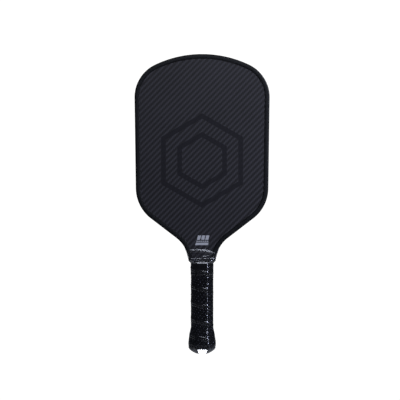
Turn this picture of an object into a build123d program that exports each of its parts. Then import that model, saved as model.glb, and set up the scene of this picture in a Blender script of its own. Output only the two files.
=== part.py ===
"""Pickleball paddle: a honeycomb-cored carbon panel with a moulded edge guard and a wrapped handle.

Row frame, millimetres: +Z runs from the butt end to the head, the front face looks along -Y,
and the origin is the centre of the flat end of the butt cap, on which the paddle can stand.

The head outline is one chain of tangent arcs and straight runs. Each stretch is known by the
direction of its outward normal, so the same chain, inset by a distance, gives the edge guard's
inner walls, the panel and the foam strip. The handle is an octagon with 45 degree bevels at
every height, so each stretch between two heights has flat faces.
"""
from build123d import *
import math
import os

# Head outline, over the edge guard
LENGTH = 419.0
HALF_WIDTH = 94.5
TOP_RADIUS = 153.0
CORNER_RADIUS = 50.0
SHOULDER_RADIUS = 54.0
NECK_RADIUS = 44.0
SIDE_RUN = 127.05
SHOULDER_RUN = 44.8
SIDE_LEAN = 0.8  # degrees that each side closes towards the handle
SHOULDER_SLOPE = 37.5  # degrees of each shoulder above the horizontal
NECK_LEAN = 12.0  # degrees of each side of the neck from the vertical

# Panel: core between two carbon sheets
CORE_THICKNESS = 15.0
SHEET_THICKNESS = 0.5
PANEL_HALF = CORE_THICKNESS / 2 + SHEET_THICKNESS
CELL_SIZE = 8.0  # across flats, centre to centre
CELL_WALL = 0.35
CORE_RIM = 0.5
SMALLEST_CELL = 5.0  # square millimetres; a smaller cut cell stays solid
FOAM_WIDTH = 6.0
FOAM_END_Z = 152.0
THROAT_FOOT_Z = 130.2  # where the neck steps in to the tang and the edge guard ends
TANG_HALF_WIDTH = 10.0
TANG_CORNER_RADIUS = 4.0

# Edge guard: a U-shaped strip with one lip on each face of the panel
GUARD_WEB = 1.4
GUARD_TAPE = 0.3
GUARD_LIP_HEIGHT = 0.9
GUARD_LIP_REACH = 6.8  # from the guard's outside to its lip's inner edge
GUARD_CORNER = 2.4
GUARD_LIP_CORNER = 0.6
GUARD_TAPE_HALF = 7.0
PANEL_INSET = GUARD_WEB + GUARD_TAPE

# Handle octagon under the hand, over the grip wrap
GRIP_HALF_WIDTH = 15.5
GRIP_HALF_DEPTH = 15.3
GRIP_BEVEL = 8.0
GRIP_CORNER = 3.0
SMALLEST_CORNER = 0.3
GRIP_THICKNESS = 1.6
GRIP_TOP_Z = 129.0
PALLET_TOP_Z = 133.0
PALLET_TAPER = 4.0  # width and height of the slope at the pallets' top
PALLET_FOOT_Z = 5.2
PALLET_CLEARANCE = 0.3  # edge guard to pallets

# Flare towards the butt end: height and how far the half width grows there
FLARE = [(8.0, 3.05), (14.0, 3.6), (21.0, 2.85), (27.0, 1.95), (36.0, 0.0)]
FLARE_DEPTH_SHARE = 0.8

# Butt cap, which slips over the end of the pallets
LIP_HALF_WIDTH = 18.0
LIP_HALF_DEPTH = 17.2
LIP_BEVEL = 10.0
LIP_CORNER = 4.0
CAP_PROFILE = [(0.0, 9.4), (3.0, 4.3), (5.8, 0.9), (7.2, 0.0)]  # height, inset from the lip
SKIRT_WALL = 1.05
SKIRT_CLEARANCE = 0.05
CAVITY_FLOOR_Z = 5.0
BADGE_INSET = 2.4  # rim left around the badge on the flat end
BADGE_THICKNESS = 1.0
BADGE_RECESS = 0.2
BADGE_GAP = 0.05

# Staples through the skirt into the pallets
STAPLE_Z = 24.0
STAPLE_CROWN = 10.0
STAPLE_WIRE = 1.0
STAPLE_THICKNESS = 0.6
STAPLE_LEG = 5.0
STAPLE_DEPTH = 0.8  # from the skirt's outside to the crown's outer face

# Thin outer layers
TAPE_THICKNESS = 0.15
TAPE_FOOT_Z = 111.0
TAPE_TOP_Z = 129.6
FILM_THICKNESS = 0.15
FILM_AIR = 0.2  # gap under the film
FILM_FOOT_Z = 0.8
FILM_LEAVES_GRIP_Z = 126.5
# Film over the throat: height, half width, half depth, bevel and corner radius of its inside
FILM_THROAT = [
    (129.9, 19.1, 15.6, 7.8, 2.0),
    (134.2, 20.0, 12.4, 4.6, 1.6),
    (138.4, 21.0, 10.2, 2.4, 1.4),
    (142.0, 22.1, 9.5, 1.8, 1.2),
    (147.0, 24.2, 9.2, 1.4, 1.0),
]

BEVEL_LOSS = 2 - math.sqrt(2)  # a 45 degree bevel's loss per unit of parallel inset
EDGE = 1.0  # overlap used when one solid trims another
NEAR = 0.05  # how close an edge or corner lies to the plane it is picked by


def at_angle(degrees, length=1.0):
    """A vector in the outline's plane, x across the paddle and y along it."""
    angle = math.radians(degrees)
    return Vector(length * math.cos(angle), length * math.sin(angle))


# Outward normals of the straight runs and of the join between the top and corner arcs
SIDE_NORMAL = -SIDE_LEAN
SHOULDER_NORMAL = SHOULDER_SLOPE - 90
NECK_NORMAL = -NECK_LEAN
TOP_CENTRE = Vector(0, LENGTH - TOP_RADIUS)
CORNER_NORMAL = math.degrees(math.acos((HALF_WIDTH - CORNER_RADIUS) / (TOP_RADIUS - CORNER_RADIUS)))
CORNER_CENTRE = TOP_CENTRE + at_angle(CORNER_NORMAL, TOP_RADIUS - CORNER_RADIUS)
SHOULDER_CENTRE = (
    CORNER_CENTRE
    + at_angle(SIDE_NORMAL, CORNER_RADIUS - SHOULDER_RADIUS)
    + at_angle(SIDE_NORMAL - 90, SIDE_RUN)
)
NECK_CENTRE = (
    SHOULDER_CENTRE
    + at_angle(SHOULDER_NORMAL, SHOULDER_RADIUS + NECK_RADIUS)
    + at_angle(SHOULDER_NORMAL - 90, SHOULDER_RUN)
)


def arc(centre, radius, first_normal, last_normal, inset):
    """An arc of the outline, moved inwards by inset. A negative radius is a hollow stretch."""
    reach = radius - inset
    normals = (first_normal, (first_normal + last_normal) / 2, last_normal)
    return ThreePointArc(*[centre + at_angle(normal, reach) for normal in normals])


def head_outline(inset, foot_z):
    """The head's outline moved inwards by inset, closed by a level line at foot_z."""
    arcs = [
        arc(TOP_CENTRE, TOP_RADIUS, 90, CORNER_NORMAL, inset),
        arc(CORNER_CENTRE, CORNER_RADIUS, CORNER_NORMAL, SIDE_NORMAL, inset),
        arc(SHOULDER_CENTRE, SHOULDER_RADIUS, SIDE_NORMAL, SHOULDER_NORMAL, inset),
        arc(NECK_CENTRE, -NECK_RADIUS, SHOULDER_NORMAL, NECK_NORMAL, inset),
    ]
    neck = arcs[3] @ 1
    down = at_angle(NECK_NORMAL - 90)
    foot = neck + down * ((foot_z - neck.Y) / down.Y)
    right = Curve() + [
        arcs[0],
        arcs[1],
        Line(arcs[1] @ 1, arcs[2] @ 0),
        arcs[2],
        Line(arcs[2] @ 1, arcs[3] @ 0),
        arcs[3],
        Line(neck, foot),
    ]
    return make_face(right + mirror(right, Plane.YZ) + Line(foot, Vector(-foot.X, foot.Y)))


def slab(face, front_y, back_y):
    """An outline in the paddle's plane, given thickness from front_y to back_y."""
    return extrude(Plane.XZ.offset(-back_y) * face, back_y - front_y, dir=(0, -1, 0))


def octagon(z, half_width, half_depth, bevel, corner):
    """A level octagon with 45 degree bevels and rounded corners, as a face at height z."""
    side, end = half_width - bevel, half_depth - bevel
    corners = [
        (side, -half_depth), (half_width, -end), (half_width, end), (side, half_depth),
        (-side, half_depth), (-half_width, end), (-half_width, -end), (-side, -half_depth),
    ]
    face = make_face(Polyline(*corners, close=True))
    return Plane.XY.offset(z) * fillet(face.vertices(), corner)


def column(stations):
    """A solid through octagons, straight between one and the next."""
    return loft([octagon(*station) for station in stations], ruled=True)


def handle_section(z, inset, flare=0.0):
    """The handle's octagon at height z, inset from the grip's outside."""
    return (
        z,
        GRIP_HALF_WIDTH - inset + flare,
        GRIP_HALF_DEPTH - inset + FLARE_DEPTH_SHARE * flare,
        GRIP_BEVEL - BEVEL_LOSS * inset + FLARE_DEPTH_SHARE * flare,
        max(GRIP_CORNER - inset, SMALLEST_CORNER),
    )


def flared(inset):
    """The stations of the flare, from the butt lip up to where the handle is straight."""
    return [handle_section(z, inset, growth) for z, growth in FLARE]


def value_at(profile, z):
    """A profile's value at height z, straight between its points and level above the last."""
    for (low_z, low), (high_z, high) in zip(profile, profile[1:]):
        if z <= high_z:
            return low + (high - low) * (z - low_z) / (high_z - low_z)
    return profile[-1][1]


def box_between(low, high):
    """A box from its lowest to its highest corner."""
    size = [b - a for a, b in zip(low, high)]
    return Pos(*low) * Box(*size, align=(Align.MIN, Align.MIN, Align.MIN))


def panel_face():
    """Outline of the core and of both carbon sheets: the head and the tang inside the handle."""
    tang = Pos(0, PALLET_FOOT_Z) * Rectangle(
        2 * TANG_HALF_WIDTH, THROAT_FOOT_Z - PALLET_FOOT_Z + EDGE, align=(Align.CENTER, Align.MIN)
    )
    face = head_outline(PANEL_INSET, THROAT_FOOT_Z) + tang
    inner_corners = [
        v for v in face.vertices()
        if abs(v.Y - THROAT_FOOT_Z) < NEAR and abs(abs(v.X) - TANG_HALF_WIDTH) < NEAR
    ]
    return fillet(inner_corners, TANG_CORNER_RADIUS)


def foam_face():
    """The strip of foam between the honeycomb and the panel's edge, round the head only."""
    strip = head_outline(PANEL_INSET, THROAT_FOOT_Z) - head_outline(PANEL_INSET + FOAM_WIDTH, THROAT_FOOT_Z)
    above = Pos(0, FOAM_END_Z) * Rectangle(LENGTH, LENGTH, align=(Align.CENTER, Align.MIN))
    return strip & above


def honeycomb_core(panel, foam):
    """The core, with one hexagonal cell after another; cells at the rim are cut to shape."""
    outer = (panel - foam).face()
    room = offset(outer, -CORE_RIM).face()
    apothem = (CELL_SIZE - CELL_WALL) / 2
    row_pitch = CELL_SIZE * math.sqrt(3) / 2
    holes = []
    for row in range(int(LENGTH / row_pitch) + 1):
        shift = CELL_SIZE / 2 * (row % 2)
        count = int(HALF_WIDTH / CELL_SIZE) + 1
        for column_number in range(-count, count + 1):
            centre = Vector(column_number * CELL_SIZE + shift, row * row_pitch)
            cell = Pos(centre) * RegularPolygon(apothem, 6, major_radius=False, rotation=30)
            inside = [room.is_inside(Vector(v.X, v.Y)) for v in cell.vertices()]
            if all(inside):
                holes.append(cell.face())
            elif any(inside):
                holes += [f for f in (cell & room).faces() if f.area > SMALLEST_CELL]
    face = Face(outer.outer_wire(), [hole.outer_wire() for hole in holes])
    return slab(face, -CORE_THICKNESS / 2, CORE_THICKNESS / 2)


def edge_guard():
    """The U-shaped guard, trimmed round the handle at its two feet."""
    lip_y = PANEL_HALF + GUARD_LIP_HEIGHT
    shell = slab(head_outline(0, THROAT_FOOT_Z), -lip_y, lip_y)
    rim = [e for e in shell.edges() if abs(abs(e.center().Y) - lip_y) < NEAR]
    rim = [e for e in rim if e.center().Z > THROAT_FOOT_Z + NEAR]
    shell = fillet(rim, GUARD_CORNER)
    shell -= slab(head_outline(GUARD_WEB, THROAT_FOOT_Z - EDGE), -PANEL_HALF, PANEL_HALF)
    shell -= slab(head_outline(GUARD_LIP_REACH, THROAT_FOOT_Z - EDGE), -2 * lip_y, 2 * lip_y)
    lip_edges = [
        e for e in shell.edges()
        if abs(abs(e.center().Y) - lip_y) < NEAR and e.geom_type != GeomType.BSPLINE
    ]
    inner = head_outline(GUARD_LIP_REACH - NEAR, THROAT_FOOT_Z - EDGE)
    inner = [e for e in lip_edges if inner.is_inside(Vector(e.position_at(0.5).X, e.position_at(0.5).Z))]
    shell = fillet(inner, GUARD_LIP_CORNER)
    trim = column([
        handle_section(THROAT_FOOT_Z - EDGE, GRIP_THICKNESS - PALLET_CLEARANCE),
        handle_section(PALLET_TOP_Z + PALLET_CLEARANCE, GRIP_THICKNESS - PALLET_CLEARANCE),
    ])
    return shell - trim


def edge_guard_tape():
    """The double-sided tape between the panel's edge and the guard's web."""
    strip = head_outline(GUARD_WEB, THROAT_FOOT_Z) - head_outline(PANEL_INSET, THROAT_FOOT_Z - EDGE)
    return slab(strip, -GUARD_TAPE_HALF, GUARD_TAPE_HALF)


def staple_face_y():
    """Depth of each staple's outer face, sunk a little into the cap's skirt."""
    skirt_y = GRIP_HALF_DEPTH - GRIP_THICKNESS + FLARE_DEPTH_SHARE * value_at(FLARE, STAPLE_Z)
    return skirt_y - STAPLE_DEPTH


def staple(side):
    """One staple, crown level, legs driven towards the middle. side is -1 in front, 1 behind."""
    outer = staple_face_y()
    crown = box_between(
        (-STAPLE_CROWN / 2, outer - STAPLE_THICKNESS, STAPLE_Z - STAPLE_WIRE / 2),
        (STAPLE_CROWN / 2, outer, STAPLE_Z + STAPLE_WIRE / 2),
    )
    leg = box_between(
        (STAPLE_CROWN / 2 - STAPLE_THICKNESS, outer - STAPLE_LEG, STAPLE_Z - STAPLE_WIRE / 2),
        (STAPLE_CROWN / 2, outer - STAPLE_THICKNESS, STAPLE_Z + STAPLE_WIRE / 2),
    )
    whole = crown + leg + mirror(leg, Plane.YZ)
    return whole if side > 0 else mirror(whole, Plane.XZ)


def staple_groove(side):
    """The groove that the crown has pressed into the skirt, from the crown outwards."""
    groove = box_between(
        (-STAPLE_CROWN / 2, staple_face_y(), STAPLE_Z - STAPLE_WIRE / 2),
        (STAPLE_CROWN / 2, 2 * GRIP_HALF_DEPTH, STAPLE_Z + STAPLE_WIRE / 2),
    )
    return groove if side > 0 else mirror(groove, Plane.XZ)


def pallets(panel, staples):
    """The two foam halves of the handle, each with a rebate for half of the tang."""
    inset = GRIP_THICKNESS
    body = column([
        handle_section(FLARE[-1][0], inset),
        handle_section(PALLET_TOP_Z - PALLET_TAPER, inset),
        handle_section(PALLET_TOP_Z, inset + PALLET_TAPER),
    ])
    body += column([
        handle_section(PALLET_FOOT_Z, inset + SKIRT_WALL),
        handle_section(FLARE[-1][0] + EDGE, inset + SKIRT_WALL),
    ])
    body -= slab(panel, -PANEL_HALF, PANEL_HALF)
    body -= staples
    reach = 2 * GRIP_HALF_WIDTH
    front_half = box_between((-reach, -reach, 0), (reach, 0, LENGTH))
    back_half = box_between((-reach, 0, 0), (reach, reach, LENGTH))
    return body & front_half, body & back_half


def end_section(z, inset):
    """The butt cap's octagon at height z, inset from its lip."""
    return (
        z,
        LIP_HALF_WIDTH - inset,
        LIP_HALF_DEPTH - inset,
        LIP_BEVEL - BEVEL_LOSS * inset,
        LIP_CORNER * (1 - inset / LIP_HALF_WIDTH),
    )


def butt_cap(staples):
    """The moulded cap: a chamfered lip, a flared skirt under the grip and a socket for the pallets."""
    lip = column([end_section(*station) for station in CAP_PROFILE] + [end_section(FLARE[0][0], 0)])
    skirt = column(flared(GRIP_THICKNESS))
    socket = GRIP_THICKNESS + SKIRT_WALL - SKIRT_CLEARANCE
    cavity = column([
        handle_section(CAVITY_FLOOR_Z, socket),
        handle_section(FLARE[-1][0] + EDGE, socket),
    ])
    badge_inset = CAP_PROFILE[0][1] + BADGE_INSET
    recess = column([
        end_section(-EDGE, badge_inset),
        end_section(BADGE_THICKNESS + BADGE_RECESS, badge_inset),
    ])
    cap = lip + skirt - cavity - recess - staples
    for side in (-1, 1):
        cap -= staple_groove(side)
    return cap


def butt_badge():
    """The plain plate in the cap's end."""
    inset = CAP_PROFILE[0][1] + BADGE_INSET + BADGE_GAP
    return column([
        end_section(BADGE_RECESS, inset),
        end_section(BADGE_RECESS + BADGE_THICKNESS, inset),
    ])


def grip_wrap():
    """The cushioned wrap as a sleeve, over the cap's skirt and the pallets."""
    outer = column(flared(0) + [handle_section(GRIP_TOP_Z, 0)])
    inner = column(flared(GRIP_THICKNESS) + [handle_section(GRIP_TOP_Z, GRIP_THICKNESS)])
    return outer - inner


def finishing_tape():
    """The band of vinyl tape that holds the wrap's top end."""
    outer = column([handle_section(z, -TAPE_THICKNESS) for z in (TAPE_FOOT_Z, TAPE_TOP_Z)])
    inner = column([handle_section(z, 0) for z in (TAPE_FOOT_Z, TAPE_TOP_Z)])
    return outer - inner


def film_stations(growth):
    """The film's octagons from the cap's rounded end to the throat, with growth added all round."""
    air = FILM_AIR + growth
    heights = [FILM_FOOT_Z] + [z for z, inset in CAP_PROFILE if z > FILM_FOOT_Z]
    end = [end_section(z, value_at(CAP_PROFILE, z) - air) for z in heights]
    throat = [
        (z, width + growth, depth + growth, bevel + BEVEL_LOSS * growth, corner + growth)
        for z, width, depth, bevel, corner in FILM_THROAT
    ]
    return end + flared(-air) + [handle_section(FILM_LEAVES_GRIP_Z, -air)] + throat


def handle_film():
    """The clear film shrunk over the handle, from the butt chamfer to the throat."""
    return column(film_stations(FILM_THICKNESS)) - column(film_stations(0))


def build():
    """Every node by name."""
    panel = panel_face()
    foam = foam_face()
    staples = staple(-1) + staple(1)
    pallet_front, pallet_back = pallets(panel, staples)
    core_half = CORE_THICKNESS / 2
    return {
        "honeycomb_core": honeycomb_core(panel, foam),
        "perimeter_foam": slab(foam, -core_half, core_half),
        "front_carbon_sheet": slab(panel, -PANEL_HALF, -core_half),
        "back_carbon_sheet": slab(panel, core_half, PANEL_HALF),
        "edge_guard": edge_guard(),
        "edge_guard_tape": edge_guard_tape(),
        "handle_pallet_front": pallet_front,
        "handle_pallet_back": pallet_back,
        "butt_cap": butt_cap(staples),
        "butt_badge": butt_badge(),
        "butt_staples": staples,
        "grip_wrap": grip_wrap(),
        "grip_finishing_tape": finishing_tape(),
        "handle_film": handle_film(),
    }


os.makedirs("parts", exist_ok=True)
for name, shape in build().items():
    export_step(shape, f"parts/{name}.step")
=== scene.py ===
"""Looks of the pickleball paddle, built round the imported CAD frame. Metres, in the row frame:
+Z from the butt end to the head, front face towards -Y."""

import math

import bmesh
import bpy
import numpy as np
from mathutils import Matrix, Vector


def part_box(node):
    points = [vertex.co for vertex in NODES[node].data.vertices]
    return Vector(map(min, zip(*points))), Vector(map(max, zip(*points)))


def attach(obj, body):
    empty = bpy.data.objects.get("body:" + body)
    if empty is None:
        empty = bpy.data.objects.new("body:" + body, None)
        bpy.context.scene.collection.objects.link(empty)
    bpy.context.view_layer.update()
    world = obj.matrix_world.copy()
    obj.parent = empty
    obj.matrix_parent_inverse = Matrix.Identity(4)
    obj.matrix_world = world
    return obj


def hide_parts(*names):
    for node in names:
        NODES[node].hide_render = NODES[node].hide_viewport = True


MM = 0.001

# Handle octagon over the grip wrap, as in the CAD but with rounder corners. The flare is given by
# height and growth of the half width
GRIP_HALF_WIDTH = 15.5
GRIP_HALF_DEPTH = 15.3
GRIP_BEVEL = 8.0
GRIP_CORNER = 4.0
SMALLEST_CORNER = 0.3
FLARE = [(8.0, 3.05), (14.0, 3.6), (21.0, 2.85), (27.0, 1.95), (36.0, 0.0)]
FLARE_DEPTH_SHARE = 0.8
GRIP_FOOT_Z = 8.0
GRIP_TOP_Z = 129.0
TOP_ROUND = 3.2  # radius to which the wrap's top edge is squeezed round
TOP_ROUND_END = 0.4  # height over the wrap's top at which that round would be complete
BEVEL_LOSS = 2 - math.sqrt(2)  # a 45 degree bevel's loss per unit of parallel inset
CORNER_PULL = math.tan(math.radians(22.5))  # a 45 degree corner's tangent length per unit of radius

# Lengths round the straight handle: rounded corners, and flats from the right-hand side anticlockwise
TURN_LENGTH = GRIP_CORNER * math.pi / 4
SIDE_FLAT = 2 * (GRIP_HALF_DEPTH - GRIP_BEVEL) - 2 * GRIP_CORNER * CORNER_PULL
FACE_FLAT = 2 * (GRIP_HALF_WIDTH - GRIP_BEVEL) - 2 * GRIP_CORNER * CORNER_PULL
SLANT_FLAT = GRIP_BEVEL * math.sqrt(2) - 2 * GRIP_CORNER * CORNER_PULL
FLAT_LENGTH = [SIDE_FLAT, SLANT_FLAT, FACE_FLAT, SLANT_FLAT] * 2
FLAT_START = [sum(FLAT_LENGTH[:k]) + k * TURN_LENGTH for k in range(8)]
PERIMETER = sum(FLAT_LENGTH) + 8 * TURN_LENGTH

# Butt cap, as in the CAD: the profile is height and inset from the lip
LIP_HALF_WIDTH = 18.0
LIP_HALF_DEPTH = 17.2
LIP_BEVEL = 10.0
LIP_CORNER = 4.0
CAP_PROFILE = [(0.0, 9.4), (3.0, 4.3), (5.8, 0.9), (7.2, 0.0)]

# Wrap: after n turns from the front's right edge, its seam is at SEAM_Z - SEAM_PITCH n + SEAM_DRIFT n^2
SEAM_Z = 111.5
SEAM_PITCH = 23.9
SEAM_DRIFT = 0.25
SEAM_START_X = 7.8
SEAM_SHARE = (FLAT_START[6] + FLAT_LENGTH[6] / 2 + SEAM_START_X) / PERIMETER
WRAP_TURNS = (-1.05, 5.6)
WRAP_DEPTH = 1.5
# Across the strip, as shares of its width from its lower edge: overlap, rows of holes, plain edge
RIDGE_SHARES = [0.0, 0.006, 0.014, 0.03, 0.08, 0.13, 0.17, 0.2]
TOP_SHARES = [0.985, 0.992, 0.998]  # the strip stops just short of the turn above
RIDGE_WIDTH = 2.4  # from the edge to where the overlap starts to fall
RIDGE_RISE = 0.4  # widths over which it rises and falls
RIDGE_FALL = 1.6
RIDGE_HEIGHT = 0.25
EDGE_WIDTH = 0.35  # width over which each edge is rolled under
LOW_EDGE_ROLL = 0.28
TOP_EDGE_ROLL = 0.22
TOP_EDGE_DEPTH = 1.2  # the strip's thickness at its upper edge
UNEVENNESS = 0.03
SQUEEZE = 0.2  # by which the tape presses the wrap's top in, from SQUEEZE_Z on
SQUEEZE_Z = 121.0
SQUEEZE_RUN = 5.0
TILE_ROWS = 5
TILES_ROUND = 20
TILE_STEPS = 6  # quads along each side of a tile, and an even number, so that rows can be staggered
HOLE_RADIUS = 0.55
HOLE_DEPTH = 0.75
# Rings round each hole: radius, and how far the surface has sunk
HOLE_RINGS = [(1.35, 0.0), (HOLE_RADIUS + 0.25, 0.03), (HOLE_RADIUS, 0.16), (HOLE_RADIUS - 0.08, HOLE_DEPTH)]

# Finishing tape
TAPE_FOOT_Z = 111.0
TAPE_TOP_Z = 130.0
TAPE_THICKNESS = 0.15
TAPE_LIFT = 0.05  # between the wrap and the tape
TAPE_GAP = 0.25  # from the single tape's outside to the film, where they bridge to the throat
TAPE_START = 0.30  # share of the way round at which the tape starts
TAPE_TURNS = 1.12

# Film
FILM_THICKNESS = 0.08
FILM_LIFT = 0.2  # over the wrap
FILM_OVER_TAPE = 0.3  # and so much more over the tape
FILM_SMOOTHING = 0.7  # half the height over which the film's bends are rounded
FILM_FOOT_Z = 0.8
FILM_TOP_Z = 147.0
FILM_LEAVES_GRIP_Z = 126.8
# Over the throat: height, half width, half depth, bevel and corner radius of its inside
FILM_THROAT = [
    (129.5, 18.9, 14.4, 7.2, 2.0),
    (131.0, 19.2, 12.4, 5.2, 1.7),
    (133.2, 19.7, 10.1, 3.2, 1.4),
    (138.0, 21.0, 9.5, 2.2, 1.3),
    (142.0, 22.1, 9.3, 1.8, 1.2),
    (FILM_TOP_Z, 24.2, 9.2, 1.4, 1.0),
]
# A slack fold below each seam and the step over it: distance from the seam, and height
SEAM_FROM = [-1.9, -1.1, 0.5, 1.7, 2.3, 4.3]
SEAM_LIFT = [0.0, 0.78, 0.08, 0.9, 0.9, 0.0]
# The corners' unevenness, as waves along the handle: weight, radians per millimetre, phase
CORNER_SLACK = 0.12
CORNER_WAVES = [(1.0, 1.31, 0.0), (1.0, 0.83, 2.0), (0.7, 2.17, 4.0)]
DEEPEST_SHARE = 0.8  # of FILM_LIFT, by which the film can sink at most
DIMPLE_RADIUS = 1.2
DIMPLE_DEPTH = 0.25
FILM_RIPPLE = 0.06  # in the throat
# Folds over the front of the throat: middle x and z, half length, tilt in degrees, sag, half width, height
FOLDS = [
    (-1.0, 143.9, 20.5, -7.0, -2.6, 2.2, 1.4),
    (-15.4, 141.0, 5.5, -66.0, 0.0, 1.1, 0.7),
    (6.5, 136.2, 8.0, 6.0, 0.5, 1.0, 0.45),
    (13.4, 131.2, 4.8, 66.0, 0.0, 0.9, 0.7),
    (11.0, 133.4, 3.0, 125.0, 0.0, 0.8, 0.5),
    (15.6, 138.6, 4.0, 62.0, 0.0, 0.9, 0.5),
]

TOW = 2.0  # width of a carbon tow

# Head outline over the edge guard, as in the CAD: tangent arcs and straight runs, known by the
# direction of their outward normals in degrees
LENGTH = 419.0
HALF_WIDTH = 94.5
TOP_RADIUS = 153.0
CORNER_RADIUS = 50.0
SHOULDER_RADIUS = 54.0
NECK_RADIUS = 44.0
SIDE_RUN = 127.05
SHOULDER_RUN = 44.8
SIDE_NORMAL = -0.8
SHOULDER_NORMAL = -52.5
NECK_NORMAL = -12.0
THROAT_FOOT_Z = 130.2
STRAIGHT_STEP = 4.0  # between points on the outline's straight runs

# Edge guard
PANEL_HALF = 8.0
GUARD_WEB = 1.4
GUARD_HALF = 8.9
GUARD_REACH = 6.8
GUARD_CORNER = 2.4
FOOT_REACH = 4.2  # the lips narrow to this at the feet, beside the handle
FOOT_RISE = 7.0  # height over which they do so
# Its lip, as distance in and drop from the lip's plane: nearly flat, a fine groove, a feathered edge
GUARD_LIP = [
    (GUARD_CORNER, 0.0), (3.2, -0.03), (4.0, -0.03), (4.8, 0.02), (5.25, 0.08),
    (5.4, 0.28), (5.55, 0.33), (5.7, 0.28), (5.8, 0.16),
    (6.1, 0.2), (6.45, 0.36), (6.7, 0.6), (GUARD_REACH, 0.86),
]

# Printed marks
INK = 0.05  # from the face to the ink's outside
GRAPHIC_Z = 270.0
GRAPHIC_RADII = [66.0, 40.0]
GRAPHIC_BAND = 7.5
BAR_SLANT = 0.25  # sideways per unit of height over PRINT_Z
PRINT_Z = 159.0
# Rows of bars: the first bar's left edge, its width, foot and top, how many there are, and their pitch
BAR_ROWS = [
    (-7.4, 4.5, 159.4, 165.4, 3, 5.8),
    (-7.6, 2.2, 156.6, 158.0, 6, 2.9),
    (-7.8, 17.8, 151.9, 155.4, 1, 0.0),
]

# Stage, in metres: each light's name, place, aim, size, power and colour
FLOOR_Z = -0.25
FLOOR_HALF = 1.2
MIDDLE = (0, 0, 0.26)
LIGHTS = [
    ("key", (0.80, -0.66, 0.52), MIDDLE, (0.5, 0.6), 7.2, (0.79, 0.82, 1.0)),
    ("top", (0.22, -1.1, 1.1), (0, 0, 0.10), (1.2, 0.7), 6.0, (0.93, 0.95, 1.0)),
    ("strip", (1.0, -1.0, 0.1), (0, 0, 0.1), (0.12, 0.36), 0.28, (1.0, 1.0, 1.0)),
    ("under", (0.012, 0.04, -0.24), (0.012, 0.04, 0), (0.05, 0.34), 0.6, (1.0, 1.0, 1.0)),
    ("right", (1.1, 1.0, 1.2), MIDDLE, (0.9, 0.6), 20.0, (0.92, 0.95, 1.0)),
    ("left", (-1.1, 1.0, 1.2), MIDDLE, (0.9, 0.6), 16.0, (1.0, 0.97, 0.92)),
    ("back", (-0.5, 2.2, 0.9), MIDDLE, (1.6, 1.6), 18.0, (0.88, 0.91, 1.0)),
]
VIEW_MIDDLE = (-0.0029, 0.2149)  # x and z
VIEW_WIDTH = 0.5603
SET_BACK = 0.004  # the view width is taken so far in front of the middle of the paddle
LENS = 85.0
SENSOR = 36.0

# What counts as one point or no length, in metres
SAME_POINT = 1e-6
NO_LENGTH = 1e-7


# ---- node helpers


class Nodes:
    """A material's node tree, with short ways to add and join nodes."""

    INPUTS = {
        "color": "Base Color", "roughness": "Roughness", "metallic": "Metallic", "normal": "Normal",
        "specular": "Specular IOR Level", "alpha": "Alpha",
    }

    def __init__(self, name):
        self.mat = bpy.data.materials.new(name)
        self.mat.use_nodes = True
        self.tree = self.mat.node_tree
        self.bsdf = self.tree.nodes["Principled BSDF"]
        self.coords = self.tree.nodes.new("ShaderNodeTexCoord").outputs["Object"]

    def put(self, socket, value):
        """Joins another node's output to the socket, or sets its own number or colour."""
        if isinstance(value, bpy.types.NodeSocket):
            self.tree.links.new(value, socket)
        elif isinstance(value, tuple):
            socket.default_value = (*value, 1)
        elif value is not None:
            socket.default_value = value

    def node(self, kind, **inputs):
        """A new node, with its inputs given by name."""
        node = self.tree.nodes.new("ShaderNode" + kind)
        for name, value in inputs.items():
            self.put(node.inputs[name], value)
        return node

    def math(self, operation, a, b=None, c=None, clamp=False):
        """One step of arithmetic."""
        node = self.tree.nodes.new("ShaderNodeMath")
        node.operation = operation
        node.use_clamp = clamp
        for socket, value in zip(node.inputs, (a, b, c)):
            self.put(socket, value)
        return node.outputs[0]

    def axes(self):
        """The place on the object, as x, y and z in metres."""
        return self.node("SeparateXYZ", Vector=self.coords).outputs

    def attribute(self, name):
        """A float stored on the mesh's points."""
        node = self.tree.nodes.new("ShaderNodeAttribute")
        node.attribute_name = name
        return node.outputs["Fac"]

    def noise(self, scale, detail=3.0, roughness=0.55, vector=None):
        """Soft noise of 0 to 1 over the place on the object, or over another vector."""
        place = vector or self.coords
        node = self.node("TexNoise", Vector=place, Scale=scale, Detail=detail, Roughness=roughness)
        return node.outputs["Fac"]

    def stretched_noise(self, scales, detail):
        """Noise with a scale of its own along each axis."""
        x, y, z = [self.math("MULTIPLY", place, scale) for place, scale in zip(self.axes(), scales)]
        return self.noise(1.0, detail, vector=self.node("CombineXYZ", X=x, Y=y, Z=z).outputs[0])

    def cells(self, scale):
        """Distance from the middle of the nearest of many scattered cells."""
        return self.node("TexVoronoi", Vector=self.coords, Scale=scale).outputs["Distance"]

    def mix(self, factor, a, b):
        """Colour a where the factor is 0 and b where it is 1."""
        node = self.tree.nodes.new("ShaderNodeMix")
        node.data_type = "RGBA"
        for index, value in ((0, factor), (6, a), (7, b)):
            self.put(node.inputs[index], value)
        return node.outputs[2]

    def blend(self, value, low, high):
        """Rises smoothly from 0 to 1 as the value goes from low to high."""
        node = self.tree.nodes.new("ShaderNodeMapRange")
        node.interpolation_type = "SMOOTHSTEP"
        for socket, number in zip(node.inputs, (value, low, high)):
            self.put(socket, number)
        return node.outputs[0]

    def around(self, value, share, middle, clamp=False):
        """The middle, plus a share of how far the value is over a half."""
        return self.math("MULTIPLY_ADD", self.math("SUBTRACT", value, 0.5), share, middle, clamp)

    def bump(self, height, strength, distance):
        """Small relief of the surface."""
        return self.node("Bump", Height=height, Strength=strength, Distance=distance).outputs["Normal"]

    def surface(self, **values):
        """Sets the shader's inputs and gives back the material."""
        for key, value in values.items():
            self.put(self.bsdf.inputs[self.INPUTS[key]], value)
        return self.mat


# ---- materials


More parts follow.
